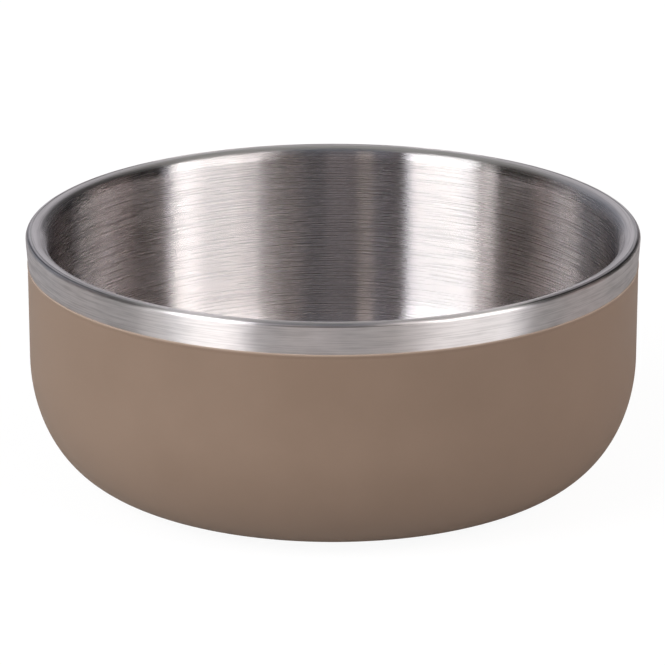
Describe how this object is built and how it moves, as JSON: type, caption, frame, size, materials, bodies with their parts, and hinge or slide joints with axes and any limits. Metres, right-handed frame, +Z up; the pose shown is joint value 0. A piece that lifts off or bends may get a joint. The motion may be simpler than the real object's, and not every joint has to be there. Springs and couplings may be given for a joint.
{
  "type": "pet bowl",
  "caption": "Round double-wall steel pet bowl with a brushed inside, a rounded rim over a bare, slightly flared steel band, a taupe coated shell curving in below and a rubber foot ring.",
  "frame": {"origin": "centre of the foot ring's underside, on the surface the bowl stands on", "axes": "+Z up along the bowl's axis; X and Y are alike because the bowl is round"},
  "size_m": [0.21, 0.21, 0.0862],
  "materials": {
    "brushed_steel": "fine lines brushed round the bowl",
    "taupe_coat": "satin powder coat, bare brushed band at the top",
    "weld_steel": "dull weld seam",
    "black_rubber": "matt moulded",
    "clear_adhesive": "cured film"
  },
  "bodies": {
    "root": {"inner_bowl": "brushed_steel", "outer_shell": "taupe_coat", "rim_weld": "weld_steel", "foot_ring": "black_rubber", "foot_bond": "clear_adhesive"}
  },
  "joints": []
}
